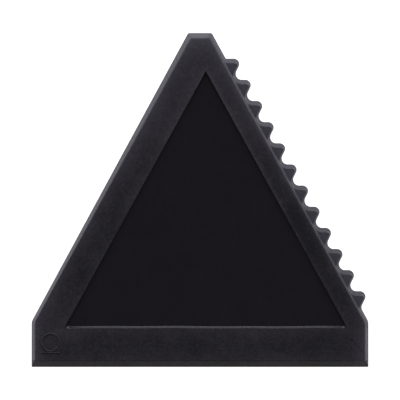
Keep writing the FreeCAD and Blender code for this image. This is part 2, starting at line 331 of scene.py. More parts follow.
def make_solid(
    name: str,
    plan: Plan,
    heights: np.ndarray,
    middle: float,
    attributes: dict[str, np.ndarray] | None = None,
) -> bpy.types.Object:
    """Close a plan mesh into a solid: front surface, mirrored back and upright border.

    Args:
        name: The piece's name.
        plan: The mesh in plan.
        heights: Height of the front surface at each plan point.
        middle: Height of the plane that the back mirrors the front about.
        attributes: Values for each plan point, by attribute name.

    Returns:
        The new object.
    """
    count = len(plan.points)
    front = np.column_stack([plan.points, heights])
    back = np.column_stack([plan.points, 2.0 * middle - heights])
    start, end = border(plan.triangles).T
    walls = np.concatenate([
        np.stack([start, start + count, end + count], axis=1),
        np.stack([start, end + count, end], axis=1),
    ])
    triangles = np.concatenate([plan.triangles, plan.triangles[:, ::-1] + count, walls])
    doubled = {label: np.tile(values, 2) for label, values in (attributes or {}).items()}
    return make_object(name, np.concatenate([front, back]), triangles, doubled)


# ---------------------------------------------------------------- the moulding's surface


@dataclass
class Moulding:
    """The whole moulding's plan and front surface, in metres.

    The outline, rim and creases come from the frame's boxes; the fields are the sizes of
    the section, which no box gives.
    """

    # The section across an edge, the step and the recess.
    top_flat: float = 8.4 * MM
    edge_land: float = 1.2 * MM
    blade_land: float = 1.0 * MM
    step_width: float = 0.15 * MM
    step_drop: float = 0.5 * MM
    recess_depth: float = 0.7 * MM
    base_rim_inset: float = 0.17 * MM
    base_rim_slope: float = 1.2
    # Where the comb cuts back the bevel, down the toothed side from the apex corner.
    comb_start: float = 9.5 * MM
    comb_end: float = 112.0 * MM
    # Bevel widths in plan, a slanted side's from its apex end to its foot.
    top_crease: float = 1.9 * MM
    blade_creases: tuple[float, float] = (1.68 * MM, 1.03 * MM)
    comb_creases: tuple[float, float] = (1.52 * MM, 1.32 * MM)
    wall_crease: float = 1.25 * MM
    crease_blend: float = 0.5 * MM
    # Rounds where two surfaces meet.
    crease_round: float = 0.5 * MM
    rim_round: float = 0.09 * MM
    mitre_round: float = 0.5 * MM
    corner_round: float = 1.3 * MM
    apex_round: float = 0.25 * MM
    blade_round: float = 0.06 * MM
    step_round: float = 0.08 * MM
    rail_round: float = 2.0 * MM
    # Sink and waves of the moulded faces, and the flash specks along the step.
    sink_depth: float = 0.07 * MM
    sink_wave: float = 0.25
    rim_wave: float = 0.09 * MM
    floor_wave: float = 0.03 * MM
    burr_count: int = 46
    burr_seed: int = 11
    burr_zone: float = 1.5 * MM
    burr_full: float = 0.05 * MM
    # Wear and painted light: scuffs at the outline, painted light along the creases, and painted
    # shade in the step.
    worn_edge: float = 0.3 * MM
    crease_light_reach: float = 2.4 * MM
    crease_shade_reach: float = 0.17 * MM
    outline: dict[str, np.ndarray] = field(init=False)

    def __post_init__(self) -> None:
        """Read the frame's boxes and place the corners."""
        base_low, base_high = (np.array(c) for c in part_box("base_blade"))
        _, rail_high = (np.array(c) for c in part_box("base_rail"))
        left_low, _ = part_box("left_rail")
        rim_low, rim_high = (np.array(c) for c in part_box("centre_panel"))
        top = float(CAD_BOX[1][1])
        self.thickness = float(base_high[2])
        self.middle = self.thickness / 2.0
        self.half_width = float(base_high[0])
        self.base_y = float(base_low[1])
        self.step_y = float(base_high[1])
        self.shoulder_y = float(rail_high[1])
        self.bevel_width = float(left_low[0]) + self.half_width
        half_top = self.top_flat / 2.0
        self.outline = {
            "low_left": np.array([-self.half_width, self.base_y]),
            "low_right": np.array([self.half_width, self.base_y]),
            "right": np.array([self.half_width, self.shoulder_y]),
            "top_right": np.array([half_top, top]),
            "top_left": np.array([-half_top, top]),
            "left": np.array([-self.half_width, self.shoulder_y]),
        }
        apex_x = (rim_low[0] + rim_high[0]) / 2.0
        self.rim_left = rim_low[:2]
        self.rim_right = np.array([rim_high[0], rim_low[1]])
        self.rim_apex = np.array([apex_x, rim_high[1]])
        run = self.half_width - half_top
        drop = top - self.shoulder_y
        self.side_length = math.hypot(run, drop)
        self.side_sin = run / self.side_length
        self.side_cos = drop / self.side_length
        self.bevel_slope = (self.thickness - self.edge_land) / 2.0 / self.bevel_width
        self.blade_width = self.step_y - self.base_y
        self.blade_foot = self.blade_width - self.step_width
        blade_rise = self.thickness - self.step_drop - self.middle - self.blade_land / 2.0
        self.blade_slope = blade_rise / self.blade_foot
        rng = np.random.default_rng(self.burr_seed)
        self.burr_x = rng.uniform(-0.97, 0.97, self.burr_count) * self.half_width
        self.burr_y = self.step_y + rng.normal(0.0, 0.16 * MM, self.burr_count)
        self.burr_size = rng.uniform(0.07, 0.2, self.burr_count) * MM
        self.burr_height = rng.uniform(0.02, 0.09, self.burr_count) * MM

    def on_side(self, side: Side, along: float, outward: float) -> np.ndarray:
        """Plan point given along a slanted side from its apex corner, and outwards.

        Args:
            side: Which of the two sides.
            along: Distance down the side from the apex corner.
            outward: Distance outwards from the side's line.

        Returns:
            The point.
        """
        corner = self.outline["top_right"]
        across = corner[0] + along * self.side_sin + outward * self.side_cos
        upward = corner[1] - along * self.side_cos + outward * self.side_sin
        return np.array([side.value * across, upward])

    def apex_crease(self, side: Side) -> np.ndarray:
        """Where the top bevel's crease meets a slanted bevel's crease."""
        along = self.bevel_width * (1.0 - self.side_sin) / self.side_cos
        return self.on_side(side, along, -self.bevel_width)

    def shoulder_crease(self, side: Side) -> np.ndarray:
        """Where a slanted bevel's crease meets an upright wall bevel's crease."""
        drop = self.bevel_width * (1.0 - self.side_cos) / self.side_sin
        return np.array([side.value * (self.half_width - self.bevel_width), self.shoulder_y - drop])

    def corners(self) -> list[np.ndarray]:
        """The outline's six corners, anticlockwise from the lower right."""
        order = ("low_right", "right", "top_right", "top_left", "left", "low_left")
        return [self.outline[name] for name in order]

    def edge_insets(self, points: np.ndarray) -> list[np.ndarray]:
        """Distances inwards from the five bevelled edges, anticlockwise from the right wall."""
        corners = self.corners()
        return [inside(points, a, b) for a, b in zip(corners, corners[1:])]

    def base_inset(self, points: np.ndarray) -> np.ndarray:
        """Distance inwards from the base edge."""
        return points[..., 1] - self.base_y

    def round_corners(self, points: np.ndarray) -> np.ndarray:
        """Draw plan points in at the outline's corners, so that they are round.

        Near a corner the rounded minimum of the two insets is less than the plain one.
        Each point moves inwards, by the same distance from both edges, by that shortfall.

        Args:
            points: Plan points.

        Returns:
            The moved points.
        """
        insets = self.edge_insets(points) + [self.base_inset(points)]
        corners = self.corners()
        moved = points.copy()
        for i, (a, b) in enumerate(zip(corners, corners[1:] + corners[:1])):
            following = (i + 1) % len(corners)
            c = corners[(i + 2) % len(corners)]
            first, second = insets[i], insets[following]
            short = np.minimum(first, second) - soft_min(first, second, self.mitre_round)
            near = np.linalg.norm(points - b, axis=-1) < 6.0 * self.bevel_width
            one = np.array([-(b - a)[1], (b - a)[0]]) / np.linalg.norm(b - a)
            other = np.array([-(c - b)[1], (c - b)[0]]) / np.linalg.norm(c - b)
            inward = (one + other) / (1.0 + one @ other)
            moved += np.where(near, short, 0.0)[..., None] * inward
        return moved

    def side_inset(self, points: np.ndarray) -> np.ndarray:
        """Rounded distance inwards from the bevelled edges, the base edge left out.

        Args:
            points: Plan points.

        Returns:
            The rounded minimum of the five insets.
        """
        insets = self.edge_insets(points)
        nearest = insets[0]
        for inset in insets[1:]:
            nearest = soft_min(nearest, inset, self.mitre_round)
        return nearest

    def crease_inset(self, points: np.ndarray) -> np.ndarray:
        """Distance from the outline to the crease of the nearest bevelled edge.

        The moulding's bevels differ a little: the top's is widest, and the slanted sides'
        narrow from the apex down. Each edge's width counts by the falling exponential of
        its distance, so that widths blend over a mitre.

        Args:
            points: Plan points.

        Returns:
            Plan widths of the bevel.
        """
        low, high = self.outline["right"][1], self.outline["top_right"][1]
        down = np.clip((high - points[..., 1]) / (high - low), 0.0, 1.0)
        blade, comb = (lerp(*ends, down) for ends in (self.blade_creases, self.comb_creases))
        wall = np.full_like(down, self.wall_crease)
        widths = [wall, comb, np.full_like(down, self.top_crease), blade, wall]
        insets = self.edge_insets(points)
        nearest = np.min(insets, axis=0)
        shares = [np.exp(-(inset - nearest) / self.crease_blend) for inset in insets]
        return sum(w * h for w, h in zip(shares, widths)) / sum(shares)

    def recess_inset(self, points: np.ndarray) -> np.ndarray:
        """Distance inside the recess's rim, rounded at its corners.

        The base line of the rim is slightly wavy, by the sum of three sines along x, and
        its wall is a little steeper than the other two.

        Args:
            points: Plan points.

        Returns:
            Distances, negative outside the recess.
        """
        x = points[..., 0] / MM
        wave = 0.5 * np.sin(x / 4.1 + 0.6) + 0.4 * np.sin(x / 9.7) + 0.15 * np.sin(x / 1.9 + 2.0)
        bottom = inside(points, self.rim_left, self.rim_right) + self.rim_wave * wave
        bottom = (bottom - self.base_rim_inset) * self.base_rim_slope
        low, high = self.rim_left[1], self.rim_apex[1]
        draw = self.base_rim_inset * (high - points[..., 1]) / (high - low)
        right = inside(points, self.rim_right, self.rim_apex) - draw
        left = inside(points, self.rim_apex, self.rim_left) - draw
        upper = soft_min(left, right, self.apex_round)
        return soft_min(upper, bottom, self.corner_round)

    def rail_middle(self, points: np.ndarray) -> np.ndarray:
        """How near a face point is to the middle of its rail: 1 in the middle, 0 at a crease.

        With a and b the distances to the recess and to the nearest outer crease, it is
        four a b over the square of their sum, eased to be level at both ends.

        Args:
            points: Plan points.

        Returns:
            Values from 0 to 1.
        """
        to_rim = np.maximum(-self.recess_inset(points), 0.0)
        to_side = self.side_inset(points) - self.bevel_width
        to_step = points[..., 1] - self.step_y
        to_edge = np.maximum(soft_min(to_side, to_step, self.rail_round), 0.0)
        share = 4.0 * to_rim * to_edge / np.maximum(to_rim + to_edge, 0.1 * MM) ** 2
        return smooth_step(0.0, 1.0, share)

    def burrs(self, points: np.ndarray) -> np.ndarray:
        """Height of the flash specks along the step: a sum of small round bells.

        The bells are worked out near the step only, because they are nothing elsewhere.

        Args:
            points: Plan points.

        Returns:
            Heights above the surface that the specks stand on.
        """
        near_step = np.abs(points[..., 1] - self.step_y) < self.burr_zone
        offset_x = points[near_step][:, 0, None] - self.burr_x
        offset_y = points[near_step][:, 1, None] - self.burr_y
        bells = bell(np.hypot(offset_x, offset_y), self.burr_size)
        specks = np.zeros(points.shape[:-1])
        specks[near_step] = bells @ self.burr_height
        return specks

    def waviness(self, points: np.ndarray) -> np.ndarray:
        """Long shallow unevenness of a moulded face: a product of two bent sines.

        Args:
            points: Plan points.

        Returns:
            Values from 0 to 1.
        """
        x, y = points[..., 0] / MM, points[..., 1] / MM
        first = np.sin(x / 11.0 + 0.9 * np.sin(y / 17.0))
        second = np.sin(y / 13.0 + 1.1 * np.sin(x / 19.0) + 1.0)
        return 0.5 + 0.5 * first * second

    def base_section(self, inset: np.ndarray) -> np.ndarray:
        """Height of the base blade's section: round nose, shallow bevel, then a steep step.

        Args:
            inset: Distances inwards from the base edge.

        Returns:
            Heights above the back face.
        """
        slope = np.asarray(self.blade_slope)
        blade = self.middle + bevel_height(inset, slope, self.blade_land / 2.0)
        step = self.thickness + (inset - self.blade_width) * self.step_drop / self.step_width
        return soft_max(blade, step, self.blade_round)

    def height(self, points: np.ndarray) -> np.ndarray:
        """Height of the front surface at plan points.

        It is the lowest of the sunk face, the side bevels, the base blade's section and
        the recess, each pair meeting in a small round. The flash specks stand on it, and
        reach no higher than the face.

        Args:
            points: Plan points.

        Returns:
            Heights above the back face.
        """
        slope = (self.thickness - self.edge_land) / 2.0 / self.crease_inset(points)
        sunk = self.sink_depth * (1.0 + self.sink_wave * self.waviness(points))
        face = self.thickness - self.rail_middle(points) * sunk
        sides = self.middle + bevel_height(self.side_inset(points), slope, self.edge_land / 2.0)
        height = soft_min(face, sides, self.crease_round)
        height = soft_min(height, self.base_section(self.base_inset(points)), self.step_round)
        inset = self.recess_inset(points)
        floor = self.thickness - self.recess_depth - self.floor_wave * self.waviness(points)
        recess = soft_max(self.thickness - inset, floor, 2.0 * self.rim_round)
        height = soft_min(height, recess, self.rim_round)
        return np.minimum(height + self.burrs(points), self.thickness)

    def knit_line(self, points: np.ndarray) -> np.ndarray:
        """Nearness to the knit line in the right corner: 1 on it, 0 a hair's breadth away.

        The line runs nearly level under the recess's corner, then bends and falls to the
        lower right: it is the rounded lower one of a shallow and a steep straight line. A
        fainter hook to its left falls and then levels off. Places are in millimetres from
        the recess's lower right corner.

        Args:
            points: Plan points.

        Returns:
            Values from 0 to 1.
        """
        across = (points[..., 0] - self.rim_right[0]) / MM
        down = (self.rim_right[1] - points[..., 1]) / MM
        path = soft_max(3.6 + 0.25 * across, 2.6 + 1.05 * across, 0.8)
        line = bell(down - path, 0.18)
        line *= smooth_step(-3.0, 0.8, across) * (1.0 - 0.5 * smooth_step(2.5, 5.5, across))
        spot = bell(np.hypot(across - 1.2, down - 4.15), 0.3)
        hook = soft_min(3.6 + 1.1 * (across + 7.4), np.full_like(across, 5.3), 0.5)
        faint = bell(down - hook, 0.2)
        faint *= smooth_step(-7.6, -6.8, across) * (1.0 - smooth_step(-4.6, -2.8, across))
        return np.clip(0.55 * line + 0.5 * spot + 0.25 * faint, 0.0, 1.0)

    def step_crease_shade(self, points: np.ndarray) -> np.ndarray:
        """Painted shade in the step's crease: a bell across the middle of the step."""
        step_middle = self.step_y - 0.5 * self.step_width
        return bell(points[..., 1] - step_middle, self.crease_shade_reach)

    def painted_light(self, points: np.ndarray) -> np.ndarray:
        """Painted light and shade on the moulded face: paler towards the apex, where the lights
        are, and faint at the corners.

        It is the sum of a rise from the base to the apex, a second rise on the topmost
        face, a round bell in each lower corner, the upright walls, which face the side lights,
        the toothed rail's two ridges, lit where the dished rail tilts to the lights, and the
        paler flash specks. A band across the waist, a bell at the toothed rail's foot and
        painted shade in the step's crease are taken off. Places and reaches are in millimetres.

        Args:
            points: Plan points.

        Returns:
            Values from about -1 to 2.5.
        """
        x, y = points[..., 0] / MM, points[..., 1] / MM
        left = 0.9 * bell(np.hypot(x + 57.0, y + 42.0), 15.0)
        right = 0.8 * bell(np.hypot(x - 58.0, y + 50.0), 6.0)
        right = right - 0.4 * bell(np.hypot(x - 50.0, y + 35.0), 7.0)
        beyond = self.side_inset(points) - self.crease_inset(points)
        on_face = smooth_step(-0.2, 0.4, beyond / MM)
        gate = smooth_step(-12.0, 54.0, y + 0.12 * (60.0 - x))
        gate = gate + 1.3 * smooth_step(47.0, 58.0, y) * on_face
        toothed = smooth_step(0.0, 8.0, x) * smooth_step(-40.0, -5.0, y) * on_face
        ridges = toothed * (0.5 - 0.8 * self.rail_middle(points))
        waist = (0.5 + 0.3 * x / 40.0) * bell(y + 10.0, 20.0)
        walls = 0.4 * bell(self.half_width / MM - np.abs(x), 4.0) * smooth_step(40.0, 46.0, -y)
        # Painted shade in the step's crease.
        line = 0.6 * self.step_crease_shade(points)
        specks = 1.6 * np.minimum(self.burrs(points) / self.burr_full, 1.0)
        return gate + left + right + walls + ridges - waist - line + specks

    def painted_crease_light(self, points: np.ndarray) -> np.ndarray:
        """Painted light along the creases and the recess's rim, strongest on the face just
        inside the outer crease.

        It is the greatest of three falling exponentials. One fades inwards from the outer
        crease, is lower on the bevel itself, and peaks higher towards the apex. One fades
        from the recess's rim, weaker and shorter but for the rim's base. The faint third
        fades up from the step.

        Args:
            points: Plan points.

        Returns:
            Values from 0 to about 1.6.
        """
        beyond = self.side_inset(points) - self.crease_inset(points)
        outer = np.exp(-np.maximum(beyond, 0.0) / self.crease_light_reach)
        upper = smooth_step(-10.0, 50.0, points[..., 1] / MM)
        outer = outer * (0.85 + (0.5 + 0.35 * upper) * smooth_step(-0.2, 0.2, beyond / MM))
        to_rim = np.maximum(-self.recess_inset(points), 0.0)
        below = smooth_step(0.0, 2.0 * MM, self.rim_left[1] - points[..., 1] + 0.5 * MM)
        reach = lerp(0.5, 1.0, below) * self.crease_light_reach
        rim = lerp(0.45, 1.2, below) * np.exp(-to_rim / reach)
        above_step = points[..., 1] - self.step_y
        step = 0.3 * np.exp(-np.maximum(above_step, 0.0) / (0.5 * self.crease_light_reach))
        step = step * smooth_step(0.0, 0.4, above_step / MM)
        return np.maximum(np.maximum(outer, rim), step)

    def dull(self, points: np.ndarray, outer: np.ndarray) -> np.ndarray:
        """Loss of gloss where the moulding is worn, on the knit line, and as painted shade in
        the step's crease.

        It is the weighted sum of the rubbed slope of the recess, the scuffed outline, the
        painted shade in the step, the knit line and the wall above the teeth.

        Args:
            points: Plan points.
            outer: Distances inwards from the outline.

        Returns:
            Values from 0, full gloss, to 1, none.
        """
        scuffed = 1.0 - smooth_step(0.3, 1.3, outer / self.worn_edge)
        inset = self.edge_insets(points)[1] / MM
        wall = smooth_step(0.7, 0.9, inset) * (1.0 - smooth_step(1.4, 1.7, inset))
        recess = self.recess_inset(points) / MM
        rubbed = smooth_step(-0.1, 0.1, recess) * (1.0 - smooth_step(0.6, 1.0, recess))
        worn = 0.35 * rubbed + 0.3 * scuffed + 0.3 * wall
        crease_shade_and_knit = 0.95 * self.step_crease_shade(points) + 0.9 * self.knit_line(points)
        return np.clip(worn + crease_shade_and_knit, 0.0, 1.0)

    def attributes(self, points: np.ndarray) -> dict[str, np.ndarray]:
        """Values that the finishes read at each point.

        They are the nearness to a rail's middle and to the knit line, the painted light and
        shade of the face and the painted light along its creases, the loss of gloss, and what
        lies outside the rim.

        Args:
            points: Plan points, before the corners are rounded.

        Returns:
            Arrays by attribute name. All but the two painted light values go from 0 to 1.
        """
        outer = np.minimum(self.side_inset(points), self.base_inset(points))
        return {
            "rail_middle": self.rail_middle(points),
            "knit_line": self.knit_line(points),
            "painted_light": self.painted_light(points),
            "painted_crease_light": self.painted_crease_light(points),
            "dull": self.dull(points, outer),
            "outside_rim": 1.0 - smooth_step(-0.08, 0.0, self.recess_inset(points) / MM),
        }


# ---------------------------------------------------------------- finishes


def linear(code: str) -> tuple[float, float, float, float]:
    """Linear colour of an sRGB hex code: each channel undoes the sRGB curve.

    Args:
        code: Hash sign and six hex digits.

    Returns:
        Red, green and blue, and an alpha of 1.
    """
    channels = [int(code[i:i + 2], 16) / 255.0 for i in (1, 3, 5)]
    bent = [c / 12.92 if c <= 0.04045 else ((c + 0.055) / 1.055) ** 2.4 for c in channels]
    return (*bent, 1.0)


def add_node(
    tree: bpy.types.NodeTree,
    kind: str,
    settings: dict[str, Any] | None = None,
    inputs: dict[str | int, Any] | None = None,
) -> bpy.types.Node:
    """Add a node with its settings, and fill or link its inputs.

    Args:
        tree: The node tree.
        kind: The node's type name.
        settings: Properties of the node by name.
        inputs: Constant values, or output sockets to link, by input name or number.

    Returns:
        The new node.
    """
    made = tree.nodes.new(kind)
    for name, value in (settings or {}).items():
        setattr(made, name, value)
    for name, value in (inputs or {}).items():
        if isinstance(value, bpy.types.NodeSocket):
            tree.links.new(value, made.inputs[name])
        else:
            made.inputs[name].default_value = value
    return made


def new_material(name: str) -> tuple[bpy.types.Material, bpy.types.NodeTree]:
    """Make a material with an empty node tree.

    Args:
        name: The material's name.

    Returns:
        The material and its node tree.
    """
    material = bpy.data.materials.new(name)
    material.use_nodes = True
    material.node_tree.nodes.clear()
    return material, material.node_tree


@dataclass(frozen=True)
class SparkErodedPolystyrene:
    """Black recycled polystyrene moulded against a spark-eroded steel face.

    The mould's fine pits make it matt, and its recycled feed makes it slightly cloudy,
    with a rare pale speck. Painted light pales the face towards the apex and along its
    creases, and painted shade darkens the middles of the rails, which have sunk away from
    the steel.
    """

    name: str = "moulded_black_recycled_polystyrene_matt"
    deep: str = "#0f0e13"
    pale: str = "#535159"
    speck: str = "#6e6c72"
    knit: str = "#08070a"
    base_shade: float = 0.2
    cloud_share: float = 0.45
    mottle_share: float = 0.5
    grain_share: float = 1.25
    # Shares of painted light and shade: paler towards the apex and along the creases, darker in the
    # rail middles.
    painted_light_share: float = 0.2
    painted_crease_light_share: float = 0.25
    middle_painted_shade_share: float = -0.07
    roughness: float = 0.5
    rough_spread: float = 0.06
    gloss: float = 0.5
    ior: float = 1.59
    cloud_mm: float = 9.0
    mottle_mm: float = 1.5
    grain_mm: float = 0.34
    grain_depth_mm: float = 0.012
    speck_mm: float = 3.4
    speck_size_mm: float = 0.12

    def make(self) -> bpy.types.Material:
        """Build the material's nodes.

        The colour goes from deep to pale with the shade, which is the base shade plus
        each noise, less its mean, and the painted light and shade of each of the moulding's
        attributes times its share.

        Returns:
            The new material.
        """
        material, tree = new_material(self.name)
        place = add_node(tree, "ShaderNodeTexCoord").outputs["Object"]
        # Noise scale is cycles per metre, so it is one over the pattern's size.
        cloud, mottle, grain = (
            add_node(tree, "ShaderNodeTexNoise", None, {
                "Vector": place, "Scale": 1.0 / (size * MM), "Detail": detail,
                "Roughness": rough,
            }).outputs["Fac"]
            for size, detail, rough in (
                (self.cloud_mm, 3.0, 0.55), (self.mottle_mm, 4.0, 0.7), (self.grain_mm, 2.0, 0.6),
            )
        )
        middle, knit, painted_light, painted_crease_light, dull = (
            add_node(tree, "ShaderNodeAttribute", {"attribute_name": label}).outputs["Fac"]
            for label in ("rail_middle", "knit_line", "painted_light", "painted_crease_light", "dull")
        )
        speckle = add_node(tree, "ShaderNodeTexVoronoi", {"feature": "F1"}, {
            "Vector": place, "Scale": 1.0 / (self.speck_mm * MM), "Randomness": 1.0,
        }).outputs["Distance"]
        speck = add_node(tree, "ShaderNodeMapRange", {"interpolation_type": "SMOOTHSTEP"}, {
            "Value": speckle, "From Min": self.speck_size_mm / self.speck_mm, "From Max": 0.0,
            "To Min": 0.0, "To Max": 0.8,
        }).outputs["Result"]
        noises = [
            (cloud, self.cloud_share), (mottle, self.mottle_share), (grain, self.grain_share),
        ]
        # Painted light and shade, each with its share.
        marks = [
            (painted_light, self.painted_light_share), (painted_crease_light, self.painted_crease_light_share), (middle, self.middle_painted_shade_share),
        ]
        # Noise is centred on one half, so half of its three amplitudes is taken off.
        shade = self.base_shade - 0.5 * sum(share for _, share in noises)
        for value, share in noises + marks:
            shade = add_node(tree, "ShaderNodeMath", {"operation": "MULTIPLY_ADD"}, {
                0: value, 1: share, 2: shade,
            }).outputs[0]
        body = add_node(tree, "ShaderNodeMix", {"data_type": "RGBA", "clamp_factor": True}, {
            "Factor": shade, 6: linear(self.deep), 7: linear(self.pale),
        }).outputs[2]
        lined = add_node(tree, "ShaderNodeMix", {"data_type": "RGBA"}, {
            "Factor": knit, 6: body, 7: linear(self.knit),
        }).outputs[2]
        colour = add_node(tree, "ShaderNodeMix", {"data_type": "RGBA"}, {
            "Factor": speck, 6: lined, 7: linear(self.speck),
        }).outputs[2]
        rough = add_node(tree, "ShaderNodeMapRange", None, {
            "Value": shade, "From Min": 0.0, "From Max": 0.6,
            "To Min": self.roughness - self.rough_spread,
            "To Max": self.roughness + self.rough_spread,
        }).outputs["Result"]
        bump = add_node(tree, "ShaderNodeBump", None, {
            "Height": grain, "Strength": 1.0, "Distance": self.grain_depth_mm * MM,
        }).outputs["Normal"]
        # Scuffs and the knit line scatter so finely that hardly any gloss is left on them; the
        # step's crease loses its gloss too, as painted shade.
        gloss = add_node(tree, "ShaderNodeMapRange", None, {
            "Value": dull, "To Min": self.gloss, "To Max": 0.0,
        }).outputs["Result"]
        shader = add_node(tree, "ShaderNodeBsdfPrincipled", None, {
            "Base Color": colour, "Roughness": rough, "Normal": bump, "IOR": self.ior,
            "Specular IOR Level": gloss,
        }).outputs["BSDF"]
        add_node(tree, "ShaderNodeOutputMaterial", None, {"Surface": shader})
        return material


@dataclass(frozen=True)
class PolishedPolystyrene:
    """The same polystyrene moulded against polished steel, smooth for a print.

    It is blacker, because little light scatters from it, and its gloss is broken only by
    faint flow marks and fine rub marks.
    """

    name: str = "moulded_black_recycled_polystyrene_polished"
    deep: str = "#0a080c"
    pale: str = "#1c191f"
    unpolished: str = "#2c2b31"
    unpolished_rise: float = 0.22
    roughness: float = 0.28
    rough_spread: float = 0.06
    gloss: float = 0.5
    ior: float = 1.59
    flow_mm: float = 14.0
    rub_mm: float = 2.2
    rub_depth_mm: float = 0.001

    def make(self) -> bpy.types.Material:
        """Build the material's nodes.

        The colour goes from deep to pale with the flow marks, and the roughness follows
        the rub marks.

        Returns:
            The new material.
        """
        material, tree = new_material(self.name)
        place = add_node(tree, "ShaderNodeTexCoord").outputs["Object"]
        flow = add_node(tree, "ShaderNodeTexNoise", None, {
            "Vector": place, "Scale": 1.0 / (self.flow_mm * MM), "Detail": 4.0,
            "Roughness": 0.6, "Distortion": 0.8,
        }).outputs["Fac"]
        # Rub marks are a little longer down the panel than across it.
        stretched = add_node(tree, "ShaderNodeMapping", None, {
            "Vector": place, "Rotation": (0.0, 0.0, 0.3), "Scale": (1.0, 0.5, 1.0),
        }).outputs["Vector"]
        rub = add_node(tree, "ShaderNodeTexNoise", None, {
            "Vector": stretched, "Scale": 1.0 / (self.rub_mm * MM), "Detail": 5.0,
            "Roughness": 0.75,
        }).outputs["Fac"]
        print_ground = add_node(tree, "ShaderNodeMix", {"data_type": "RGBA"}, {
            "Factor": flow, 6: linear(self.deep), 7: linear(self.pale),
        }).outputs[2]
        # The polish ends at the rim: the corner slivers outside it are as matt as the frame.
        outside, dull = (
            add_node(tree, "ShaderNodeAttribute", {"attribute_name": label}).outputs["Fac"]
            for label in ("outside_rim", "dull")
        )
        colour = add_node(tree, "ShaderNodeMix", {"data_type": "RGBA"}, {
            "Factor": outside, 6: print_ground, 7: linear(self.unpolished),
        }).outputs[2]
        rubbed = add_node(tree, "ShaderNodeMapRange", None, {
            "Value": rub, "From Min": 0.3, "From Max": 0.7,
            "To Min": self.roughness - self.rough_spread,
            "To Max": self.roughness + self.rough_spread,
        }).outputs["Result"]
        rough = add_node(tree, "ShaderNodeMath", {"operation": "MULTIPLY_ADD"}, {
            0: outside, 1: self.unpolished_rise, 2: rubbed,
        }).outputs[0]
        bump = add_node(tree, "ShaderNodeBump", None, {
            "Height": rub, "Strength": 0.6, "Distance": self.rub_depth_mm * MM,
        }).outputs["Normal"]
        gloss = add_node(tree, "ShaderNodeMapRange", None, {
            "Value": dull, "To Min": self.gloss, "To Max": 0.0,
        }).outputs["Result"]
        shader = add_node(tree, "ShaderNodeBsdfPrincipled", None, {
            "Base Color": colour, "Roughness": rough, "Normal": bump, "IOR": self.ior,
            "Specular IOR Level": gloss,
        }).outputs["BSDF"]
        add_node(tree, "ShaderNodeOutputMaterial", None, {"Surface": shader})
        return material


# ---------------------------------------------------------------- the zones


class Zone:
    """A zone of the moulding, which stands for one CAD node."""

    node: str
    slot: Slot

    def build(self) -> bpy.types.Object:
        """Make the zone's piece; each kind of zone has its own way."""
        raise NotImplementedError

    def dress(self, piece: bpy.types.Object, finish: bpy.types.Material) -> None:
        """Give the zone's piece its finish, and tie it to the frame in place of its CAD node.

        Args:
            piece: The finished mesh object.
            finish: Its material.
        """
        piece.data.materials.append(finish)
        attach(piece, "root")
        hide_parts(self.node)
        log.info("%s: %d triangles, for %s", piece.name, len(piece.data.polygons), self.node)


@dataclass
class Spacing:
    """Places of the grid lines that neighbouring patches of a zone share."""

    moulding: Moulding
    foot_share: float = 0.547
    fine: float = 0.03 * MM
    growth: float = 1.35
    coarse: float = 0.5 * MM
    mitre_fine: float = 0.06 * MM
    mitre_growth: float = 1.4
    mitre_coarse: float = 1.2 * MM
    nose_rows: int = 7
    foot_rows: int = 5
    wall_rows: int = 13
    apex_columns: int = 16

    def bevel(self) -> np.ndarray:
        """From the outline to the crease: close on the round nose and at the crease.

        Returns:
            Rising values from 0 to 1.
        """
        slope = np.asarray(self.moulding.bevel_slope)
        nose = nose_insets(slope, self.nose_rows)[:, 0] / self.moulding.bevel_width
        foot = np.linspace(nose[-1], self.foot_share, self.foot_rows)[1:]
        wall = self.foot_share + self.wall()[1:] * (1.0 - self.foot_share)
        return np.concatenate([nose, foot, wall])

    def wall(self) -> np.ndarray:
        """From the teeth's foot line to the crease, closer at the crease."""
        return 1.0 - (1.0 - np.linspace(0.0, 1.0, self.wall_rows)) ** 1.6

    def rail(self, width: float) -> np.ndarray:
        """Across a rail's face, from the outer crease to the recess's rim."""
        return graded(width, self.fine, self.growth, self.coarse)

    def along(self, length: float) -> np.ndarray:
        """Along a rail or a blade, closer at the mitres."""
        return graded(length, self.mitre_fine, self.mitre_growth, self.mitre_coarse)

    def apex(self) -> np.ndarray:
        """Across one half of the cut-off apex, evenly."""
        return np.linspace(0.0, 1.0, self.apex_columns)


@dataclass
class FlatZone(Zone):
    """A zone of the moulding made of four-sided plan patches."""

    moulding: Moulding
    spacing: Spacing
    node: str
    slot: Slot = Slot.FRAME

    def patches(self) -> list[np.ndarray]:
        """Plan patches of the zone; each kind of zone has its own."""
        raise NotImplementedError

    def build(self) -> bpy.types.Object:
        """Weld the patches, lift them to the moulding's surface and close the solid.

        Returns:
            The new object.
        """
        plan = join_patches(self.patches())
        values = self.moulding.attributes(plan.points)
        plan.points = self.moulding.round_corners(plan.points)
        heights = self.moulding.height(plan.points)
        return make_solid(f"{self.node}_moulded", plan, heights, self.moulding.middle, values)


@dataclass
class SideBlade(FlatZone):
    """The bevelled scraping edge of the left side."""

    def patches(self) -> list[np.ndarray]:
        """One strip between the outline and the crease, mitred at both ends.

        Returns:
            Grids of plan points, one to a patch.
        """
        form = self.moulding
        corners = [
            form.outline["top_left"], form.outline["left"],
            form.shoulder_crease(Side.BLADE), form.apex_crease(Side.BLADE),
        ]
        return [patch(corners, self.spacing.along(form.side_length), self.spacing.bevel())]


